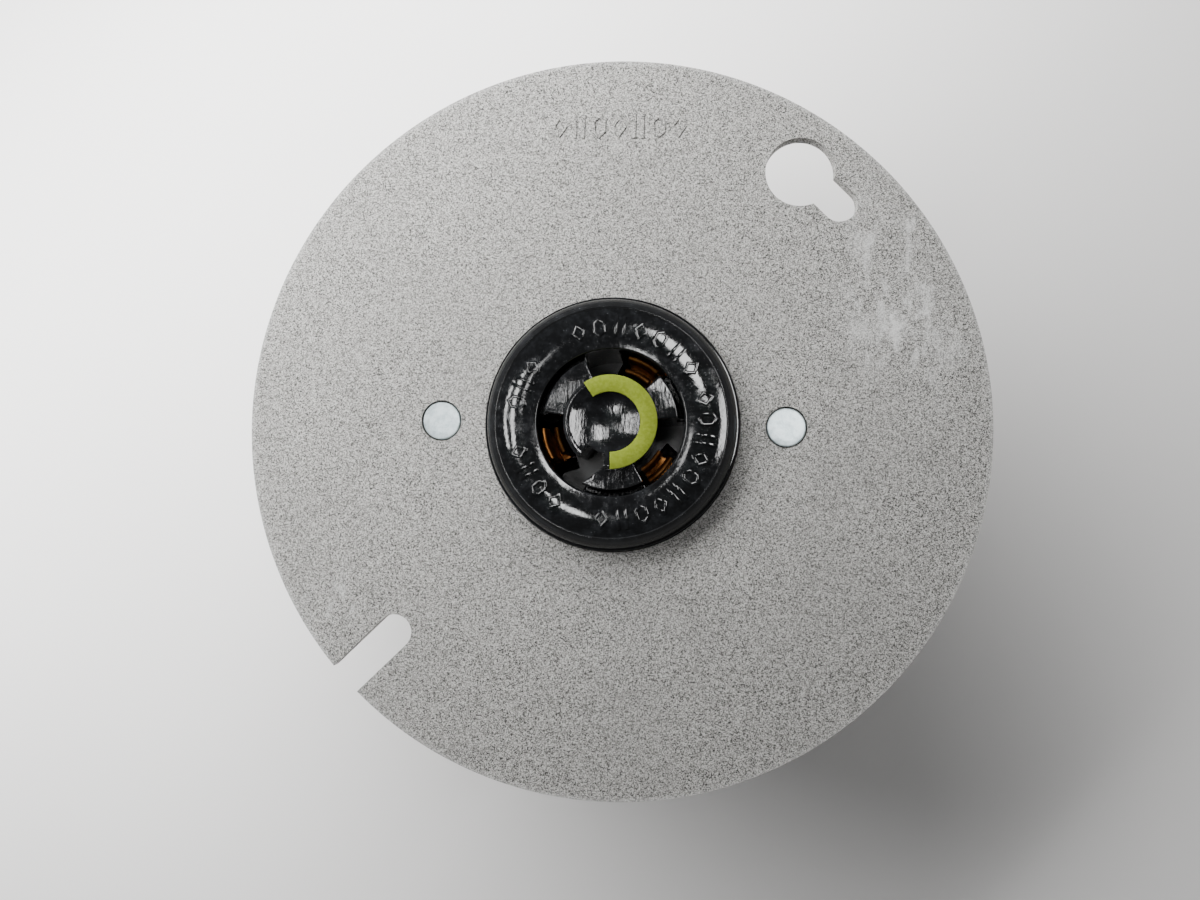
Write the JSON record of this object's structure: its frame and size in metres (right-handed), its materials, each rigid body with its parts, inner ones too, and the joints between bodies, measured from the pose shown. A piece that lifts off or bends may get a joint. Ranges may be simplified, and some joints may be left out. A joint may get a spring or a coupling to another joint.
{
  "type": "round outlet box cover with locking receptacle",
  "caption": "Round flat steel outlet-box cover with a keyhole and an open screw slot, and a black midget locking receptacle riveted in its middle.",
  "frame": {"origin": "centre of the cover plate's back face, which seats on the box", "axes": "+Z out of the front face, towards the plug; the two rivets lie along X; +Y towards the top of the marked face"},
  "size_m": [0.1048, 0.1048, 0.032],
  "materials": {
    "blasted_steel": "matte light grey with a fine blasted speckle",
    "zinc": "bluish zinc plating, mottled",
    "strap_steel": "zinc-plated steel",
    "black_gloss": "glossy black moulding",
    "mark_green": "yellow-green inlay",
    "base_black": "satin black moulding",
    "contact_brass": "drawn brass, slightly darkened",
    "screw_brass": "brass terminal screw",
    "screw_nickel": "nickel-plated terminal screw",
    "screw_green": "green terminal screw",
    "clamp_steel": "plated steel",
    "screw_steel": "zinc-plated steel",
    "bond_brass": "brass strip"
  },
  "bodies": {
    "root": {"cover_plate": "blasted_steel", "rivet_left": "zinc", "rivet_right": "zinc", "mounting_strap": "strap_steel", "face_housing": "black_gloss", "contact_core": "black_gloss", "colour_mark": "mark_green", "base_housing": "base_black", "rear_cover": "base_black", "hot_contact": "contact_brass", "neutral_contact": "contact_brass", "ground_contact": "contact_brass", "assembly_screw_upper": "screw_steel", "assembly_screw_lower": "screw_steel", "ground_bond_strip": "bond_brass"},
    "hot_clamp": {"hot_clamp_plate": "clamp_steel"},
    "hot_screw": {"hot_terminal_screw": "screw_brass"},
    "ground_clamp": {"ground_clamp_plate": "clamp_steel"},
    "ground_screw": {"ground_terminal_screw": "screw_green"},
    "neutral_clamp": {"neutral_clamp_plate": "clamp_steel"},
    "neutral_screw": {"neutral_terminal_screw": "screw_nickel"}
  },
  "joints": [
    {"name": "hot_clamp_slide", "type": "slide", "parent": "root", "child": "hot_clamp", "axis": [0.454, 0.891, 0], "range_m": [0, 0.0024]},
    {"name": "hot_screw_turn", "type": "hinge", "parent": "hot_clamp", "child": "hot_screw", "pos_m": [0.00776, 0.01524, -0.0164], "axis": [0.454, 0.891, 0], "range_deg": [0, 1090]},
    {"name": "ground_clamp_slide", "type": "slide", "parent": "root", "child": "ground_clamp", "axis": [-0.9483, -0.3173, 0], "range_m": [0, 0.0024]},
    {"name": "ground_screw_turn", "type": "hinge", "parent": "ground_clamp", "child": "ground_screw", "pos_m": [-0.01622, -0.00543, -0.0164], "axis": [-0.9483, -0.3173, 0], "range_deg": [0, 1090]},
    {"name": "neutral_clamp_slide", "type": "slide", "parent": "root", "child": "neutral_clamp", "axis": [0.7431, -0.6691, 0], "range_m": [0, 0.0024]},
    {"name": "neutral_screw_turn", "type": "hinge", "parent": "neutral_clamp", "child": "neutral_screw", "pos_m": [0.01271, -0.01144, -0.0164], "axis": [0.7431, -0.6691, 0], "range_deg": [0, 1090]}
  ],
  "couplings": [
    {"joint": "hot_screw_turn", "follows": "hot_clamp_slide", "rad_per_m": 7915.8},
    {"joint": "ground_screw_turn", "follows": "ground_clamp_slide", "rad_per_m": 7915.8},
    {"joint": "neutral_screw_turn", "follows": "neutral_clamp_slide", "rad_per_m": 7915.8}
  ]
}
